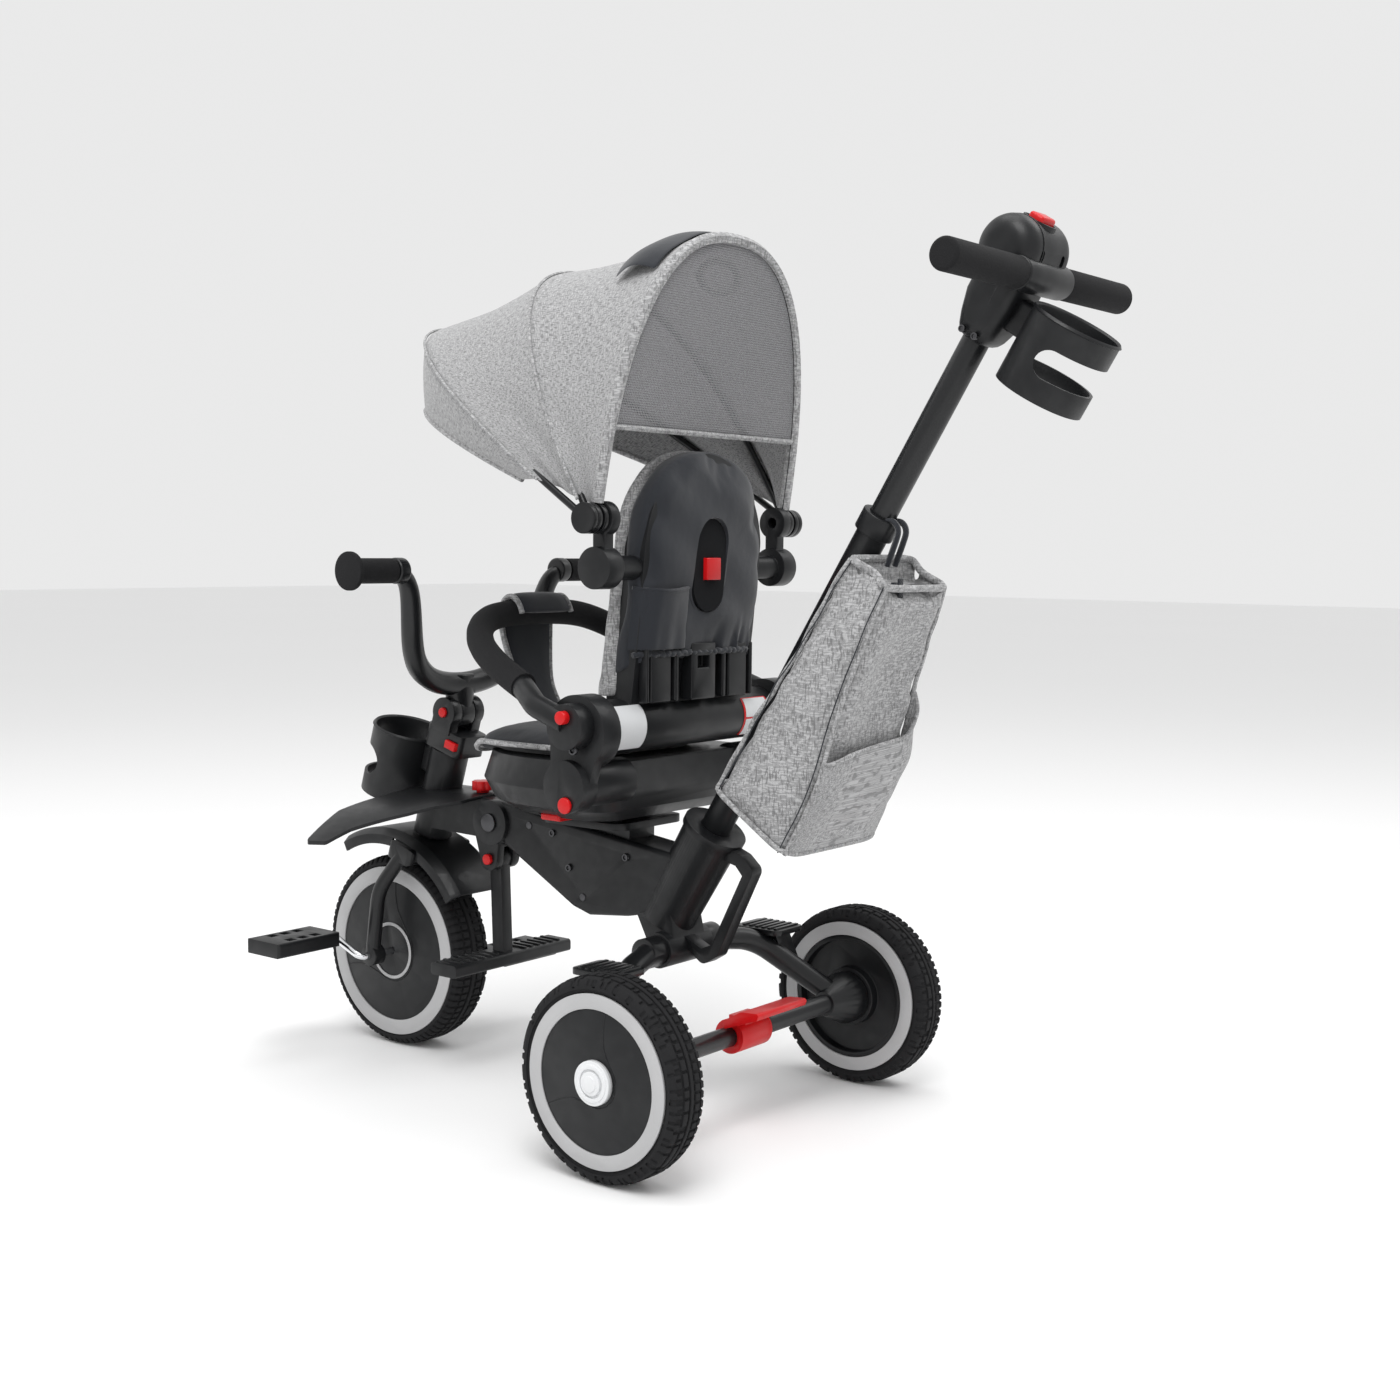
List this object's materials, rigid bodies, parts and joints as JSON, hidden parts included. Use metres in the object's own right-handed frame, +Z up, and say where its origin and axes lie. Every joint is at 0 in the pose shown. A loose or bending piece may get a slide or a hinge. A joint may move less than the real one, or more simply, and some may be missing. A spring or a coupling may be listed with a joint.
{
  "type": "children's tricycle",
  "caption": "Three-wheeled child's push tricycle with a swivelling padded seat, folding canopy, safety bar, telescopic push bar and storage bag",
  "frame": {"origin": "middle of the length and width, on the ground under the tyres", "axes": "+X forward, +Y to the child's left, +Z up"},
  "size_m": [1.0732, 0.51, 0.9672],
  "materials": {
    "black_plastic": "moulded, fine grain, satin",
    "red_plastic": "moulded, smooth",
    "grey_plastic": "moulded, satin",
    "tyre_rubber": "matt foam rubber",
    "foam_grip": "matt foam",
    "painted_steel": "satin black paint",
    "chrome": "polished",
    "steel": "plated",
    "grey_fabric": "heathered woven polyester",
    "black_fabric": "smooth woven nylon",
    "mesh_fabric": "open knitted mesh"
  },
  "bodies": {
    "chassis": {"main_beam": "black_plastic", "rear_housing": "black_plastic", "grab_handle": "black_plastic", "push_sleeve": "painted_steel", "frame_screws": "steel", "bag": "grey_fabric"},
    "front_frame": {"front_knuckle": "black_plastic", "foot_platform": "black_plastic", "front_cup_holder": "black_plastic"},
    "knob": {"fold_knob": "red_plastic"},
    "footrest_body": {"footrest": "black_plastic"},
    "footrest_catch": {"footrest_lock": "red_plastic"},
    "steering": {"fork": "painted_steel", "front_fender": "black_plastic"},
    "steering_catch": {"steering_lock": "red_plastic"},
    "bars": {"handlebar": "painted_steel", "handlebar_grips": "foam_grip"},
    "bars_button": {"handlebar_button": "red_plastic"},
    "front_wheel": {"tyre_front": "tyre_rubber", "rim_front": "black_plastic", "trim_front": "grey_plastic", "crank": "chrome"},
    "left_pedal": {"pedal_left": "black_plastic"},
    "right_pedal": {"pedal_right": "black_plastic"},
    "rear_axle": {"rear_axle_frame": "painted_steel", "axle_rod": "steel"},
    "brake": {"brake_pedal": "red_plastic"},
    "rear_left_wheel": {"tyre_rear_left": "tyre_rubber", "rim_rear_left": "black_plastic", "trim_rear_left": "grey_plastic"},
    "rear_right_wheel": {"tyre_rear_right": "tyre_rubber", "rim_rear_right": "black_plastic", "trim_rear_right": "grey_plastic"},
    "seat": {"seat_shell": "black_plastic", "seat_cushion": "grey_fabric", "side_brackets": "black_plastic"},
    "swivel_catch": {"swivel_tab": "red_plastic"},
    "left_side_button": {"side_button_left": "red_plastic"},
    "right_side_button": {"side_button_right": "red_plastic"},
    "backrest": {"back_shell": "black_plastic", "back_cover": "black_fabric", "canopy_posts": "black_plastic"},
    "recline_catch": {"recline_lever": "red_plastic"},
    "bar": {"safety_bar": "foam_grip", "bar_sockets": "black_plastic", "crotch_pad": "grey_fabric"},
    "left_bar_button": {"bar_button_left": "red_plastic"},
    "right_bar_button": {"bar_button_right": "red_plastic"},
    "canopy": {"rear_bow": "painted_steel", "canopy_roof": "grey_fabric", "canopy_mesh": "mesh_fabric"},
    "canopy_mid": {"middle_bow": "painted_steel", "canopy_middle": "grey_fabric"},
    "canopy_front": {"front_bow": "painted_steel", "canopy_visor": "grey_fabric"},
    "push_handle": {"push_tube": "painted_steel", "push_housing": "black_plastic", "push_grips": "foam_grip", "rear_cup_holder": "black_plastic"},
    "height_button": {"push_button": "red_plastic"}
  },
  "joints": [
    {"name": "frame_fold", "type": "hinge", "parent": "chassis", "child": "front_frame", "pos_m": [0.2371, 0, 0.303], "axis": [0, 1, 0], "range_deg": [0, 45]},
    {"name": "fold_knob_turn", "type": "hinge", "parent": "front_frame", "child": "knob", "pos_m": [0.2821, 0, 0.332], "axis": [0, 0, 1], "range_deg": [0, 90]},
    {"name": "footrest_fold", "type": "hinge", "parent": "front_frame", "child": "footrest_body", "pos_m": [0.2531, 0, 0.255], "axis": [0, -1, 0], "range_deg": [-60, 0]},
    {"name": "footrest_lock_press", "type": "slide", "parent": "front_frame", "child": "footrest_catch", "axis": [0, -1, 0], "range_m": [0, 0.003], "stiffness_N_per_m": 300},
    {"name": "steering_turn", "type": "hinge", "parent": "front_frame", "child": "steering", "pos_m": [0.4161, 0, 0.1205], "axis": [-0.2857, 0, 0.9583], "range_deg": [-30, 30]},
    {"name": "steering_lock_slide", "type": "slide", "parent": "steering", "child": "steering_catch", "axis": [0, 1, 0], "range_m": [0, 0.0035]},
    {"name": "handlebar_fold", "type": "hinge", "parent": "steering", "child": "bars", "pos_m": [0.32411, 0, 0.42908], "axis": [0, 1, 0], "range_deg": [0, 60]},
    {"name": "handlebar_button_press", "type": "slide", "parent": "steering", "child": "bars_button", "axis": [0, -1, 0], "range_m": [0, 0.004], "stiffness_N_per_m": 300},
    {"name": "front_wheel_spin", "type": "hinge", "parent": "steering", "child": "front_wheel", "pos_m": [0.4161, 0, 0.1205], "axis": [0, 1, 0], "continuous": true},
    {"name": "left_pedal_spin", "type": "hinge", "parent": "front_wheel", "child": "left_pedal", "pos_m": [0.4701, 0, 0.142], "axis": [0, 1, 0], "continuous": true},
    {"name": "right_pedal_spin", "type": "hinge", "parent": "front_wheel", "child": "right_pedal", "pos_m": [0.3621, 0, 0.099], "axis": [0, 1, 0], "continuous": true},
    {"name": "rear_axle_fold", "type": "hinge", "parent": "chassis", "child": "rear_axle", "pos_m": [-0.0269, 0, 0.187], "axis": [0, 1, 0], "range_deg": [-95, 0]},
    {"name": "brake_press", "type": "hinge", "parent": "rear_axle", "child": "brake", "pos_m": [-0.1219, 0, 0.105], "axis": [0, 1, 0], "range_deg": [-15, 0]},
    {"name": "rear_left_spin", "type": "hinge", "parent": "rear_axle", "child": "rear_left_wheel", "pos_m": [-0.1219, 0, 0.105], "axis": [0, 1, 0], "continuous": true},
    {"name": "rear_right_spin", "type": "hinge", "parent": "rear_axle", "child": "rear_right_wheel", "pos_m": [-0.1219, 0, 0.105], "axis": [0, 1, 0], "continuous": true},
    {"name": "seat_swivel", "type": "hinge", "parent": "chassis", "child": "seat", "pos_m": [0.0731, 0, 0.336], "axis": [0, 0, 1], "range_deg": [-25, 25]},
    {"name": "swivel_tab_press", "type": "slide", "parent": "seat", "child": "swivel_catch", "axis": [0, -1, 0], "range_m": [0, 0.005], "stiffness_N_per_m": 300},
    {"name": "left_side_button_press", "type": "slide", "parent": "seat", "child": "left_side_button", "axis": [0, -1, 0], "range_m": [0, 0.003], "stiffness_N_per_m": 300},
    {"name": "right_side_button_press", "type": "slide", "parent": "seat", "child": "right_side_button", "axis": [0, 1, 0], "range_m": [0, 0.003], "stiffness_N_per_m": 300},
    {"name": "seat_recline", "type": "hinge", "parent": "seat", "child": "backrest", "pos_m": [-0.0219, 0, 0.442], "axis": [0, 1, 0], "range_deg": [-30, 0]},
    {"name": "recline_lever_lift", "type": "slide", "parent": "backrest", "child": "recline_catch", "axis": [-0.0995, 0, 0.995], "range_m": [0, 0.01], "stiffness_N_per_m": 150},
    {"name": "safety_bar_lift", "type": "hinge", "parent": "seat", "child": "bar", "pos_m": [-0.0319, 0, 0.448], "axis": [0, 1, 0], "range_deg": [-35, 0]},
    {"name": "left_bar_button_press", "type": "slide", "parent": "bar", "child": "left_bar_button", "axis": [0, -1, 0], "range_m": [0, 0.003], "stiffness_N_per_m": 300},
    {"name": "right_bar_button_press", "type": "slide", "parent": "bar", "child": "right_bar_button", "axis": [0, 1, 0], "range_m": [0, 0.003], "stiffness_N_per_m": 300},
    {"name": "canopy_tilt", "type": "hinge", "parent": "backrest", "child": "canopy", "pos_m": [-0.0439, 0, 0.662], "axis": [0, 1, 0], "range_deg": [0, 20]},
    {"name": "canopy_front_fold", "type": "hinge", "parent": "canopy", "child": "canopy_front", "pos_m": [-0.0439, 0, 0.662], "axis": [0, 1, 0], "range_deg": [-50, 0], "deforming": ["canopy_middle"]},
    {"name": "canopy_middle_fold", "type": "hinge", "parent": "canopy", "child": "canopy_mid", "pos_m": [-0.0439, 0, 0.662], "axis": [0, 1, 0], "range_deg": [-25, 0], "deforming": ["canopy_roof"]},
    {"name": "push_bar_slide", "type": "slide", "parent": "chassis", "child": "push_handle", "axis": [0.5225, 0, -0.8526], "range_m": [0, 0.1]},
    {"name": "height_button_press", "type": "slide", "parent": "push_handle", "child": "height_button", "axis": [0.5225, 0, -0.8526], "range_m": [0, 0.004], "stiffness_N_per_m": 300}
  ],
  "couplings": [
    {"joint": "canopy_middle_fold", "follows": "canopy_front_fold", "ratio": 0.5}
  ]
}
